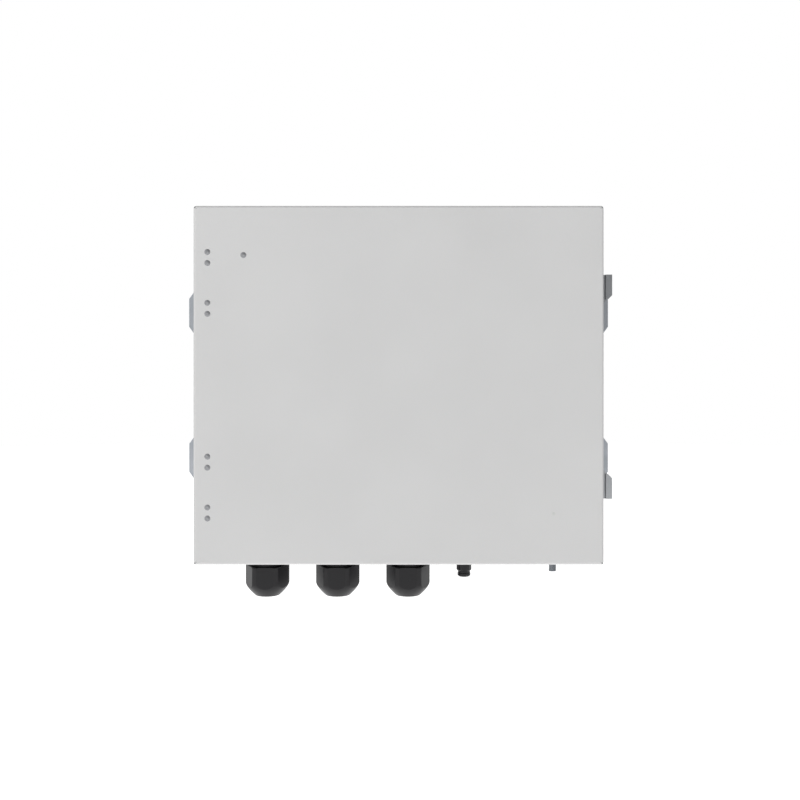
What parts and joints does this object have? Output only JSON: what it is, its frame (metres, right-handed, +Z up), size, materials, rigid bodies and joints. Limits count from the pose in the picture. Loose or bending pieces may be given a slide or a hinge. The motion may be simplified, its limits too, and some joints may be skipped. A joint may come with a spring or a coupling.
{
  "type": "dc combiner box",
  "caption": "Wall-mounted sheet-steel combiner box for solar strings: hinged flush door with two draw latches, cable glands below, string fuses, a load-break switch and a surge arrester inside.",
  "frame": {"origin": "the wall plane, in the middle of the four wall holes, behind the middle of the door", "axes": "+X to the right as seen from in front, +Z up, the door faces -Y and the wall is at Y = 0"},
  "size_m": [0.4714, 0.1509, 0.3945],
  "materials": {
    "painted_steel": "powder-coated, satin",
    "zinc_plated_steel": "zinc-plated",
    "stainless_steel": "brushed",
    "black_nylon": "moulded, fine grain",
    "black_rubber": "matte",
    "grey_pvc": "extruded",
    "light_plastic": "moulded",
    "dark_plastic": "moulded",
    "red_plastic": "moulded",
    "blue_plastic": "moulded",
    "ceramic": "glazed ceramic with metal caps",
    "copper": "drawn copper",
    "brass_bar": "drawn brass",
    "foam": "foamed polyurethane",
    "red_insulation": "extruded",
    "black_insulation": "extruded",
    "green_yellow_insulation": "extruded"
  },
  "bodies": {
    "box": {"enclosure_body": "painted_steel", "wall_rail_upper": "zinc_plated_steel", "wall_rail_lower": "zinc_plated_steel", "frame_nuts": "zinc_plated_steel", "mounting_plate": "zinc_plated_steel", "plate_spacers": "zinc_plated_steel", "din_rail": "zinc_plated_steel", "plate_screws": "zinc_plated_steel", "cable_duct": "grey_pvc", "duct_cover": "grey_pvc", "fuse_base_1": "light_plastic", "fuse_base_2": "light_plastic", "fuse_base_3": "light_plastic", "switch_body": "dark_plastic", "surge_base": "light_plastic", "end_clamps": "zinc_plated_steel", "busbar_positive": "copper", "busbar_negative": "copper", "busbar_carrier": "light_plastic", "earth_bar": "brass_bar", "earth_bar_screws": "zinc_plated_steel", "gland_bodies": "black_nylon", "gland_cap_1": "black_nylon", "gland_cap_2": "black_nylon", "gland_cap_3": "black_nylon", "gland_inserts": "black_rubber", "gland_locknuts": "black_nylon", "small_gland_body": "black_nylon", "small_gland_cap": "black_nylon", "small_gland_plug": "black_nylon", "earth_stud": "zinc_plated_steel", "earth_stud_nuts": "zinc_plated_steel", "hinge_arms": "stainless_steel", "body_screws": "zinc_plated_steel", "latch_bases": "stainless_steel", "latch_pins": "stainless_steel", "positive_wires": "red_insulation", "negative_wires": "black_insulation", "earth_wires": "green_yellow_insulation", "cable_lugs": "zinc_plated_steel"},
    "door": {"door_panel": "painted_steel", "door_gasket": "foam", "hinge_brackets": "stainless_steel", "door_rivets": "stainless_steel", "hinge_pins": "stainless_steel", "keepers": "stainless_steel", "document_pocket": "light_plastic"},
    "lever_upper": {"latch_lever_upper": "stainless_steel"},
    "lever_lower": {"latch_lever_lower": "stainless_steel"},
    "claw_upper": {"latch_claw_upper": "stainless_steel"},
    "claw_lower": {"latch_claw_lower": "stainless_steel"},
    "carrier_1": {"fuse_carrier_1": "light_plastic", "fuse_links_1": "ceramic"},
    "carrier_2": {"fuse_carrier_2": "light_plastic", "fuse_links_2": "ceramic"},
    "carrier_3": {"fuse_carrier_3": "light_plastic", "fuse_links_3": "ceramic"},
    "handle": {"switch_handle": "red_plastic"},
    "cartridge_1": {"surge_cartridge_1": "red_plastic"},
    "cartridge_2": {"surge_cartridge_2": "blue_plastic"}
  },
  "joints": [
    {"name": "door_hinge", "type": "hinge", "parent": "box", "child": "door", "pos_m": [-0.192, -0.14, 0], "axis": [0, 0, -1], "range_deg": [0, 110]},
    {"name": "latch_lever_upper_pivot", "type": "hinge", "parent": "box", "child": "lever_upper", "pos_m": [0.205, -0.11, 0.0984], "axis": [0, 0, -1], "range_deg": [0, 95]},
    {"name": "latch_lever_lower_pivot", "type": "hinge", "parent": "box", "child": "lever_lower", "pos_m": [0.205, -0.11, -0.1012], "axis": [0, 0, -1], "range_deg": [0, 95]},
    {"name": "latch_claw_upper_pivot", "type": "hinge", "parent": "lever_upper", "child": "claw_upper", "pos_m": [0.2041, -0.1025, 0.0984], "axis": [0, 0, 1], "range_deg": [0, 115]},
    {"name": "latch_claw_lower_pivot", "type": "hinge", "parent": "lever_lower", "child": "claw_lower", "pos_m": [0.2041, -0.1025, -0.1012], "axis": [0, 0, 1], "range_deg": [0, 115]},
    {"name": "fuse_carrier_1_pivot", "type": "hinge", "parent": "box", "child": "carrier_1", "pos_m": [-0.114, -0.0685, 0.02], "axis": [1, 0, 0], "range_deg": [0, 75]},
    {"name": "fuse_carrier_2_pivot", "type": "hinge", "parent": "box", "child": "carrier_2", "pos_m": [-0.078, -0.0685, 0.02], "axis": [1, 0, 0], "range_deg": [0, 75]},
    {"name": "fuse_carrier_3_pivot", "type": "hinge", "parent": "box", "child": "carrier_3", "pos_m": [-0.042, -0.0685, 0.02], "axis": [1, 0, 0], "range_deg": [0, 75]},
    {"name": "switch_handle_pivot", "type": "hinge", "parent": "box", "child": "handle", "pos_m": [0.034, -0.0735, 0.04], "axis": [1, 0, 0], "range_deg": [0, 80]},
    {"name": "surge_cartridge_1_slide", "type": "slide", "parent": "box", "child": "cartridge_1", "axis": [0, -1, 0], "range_m": [0, 0.03]},
    {"name": "surge_cartridge_2_slide", "type": "slide", "parent": "box", "child": "cartridge_2", "axis": [0, -1, 0], "range_m": [0, 0.03]}
  ],
  "couplings": [
    {"joint": "latch_claw_upper_pivot", "follows": "latch_lever_upper_pivot", "ratio": 1.2},
    {"joint": "latch_claw_lower_pivot", "follows": "latch_lever_lower_pivot", "ratio": 1.2}
  ]
}
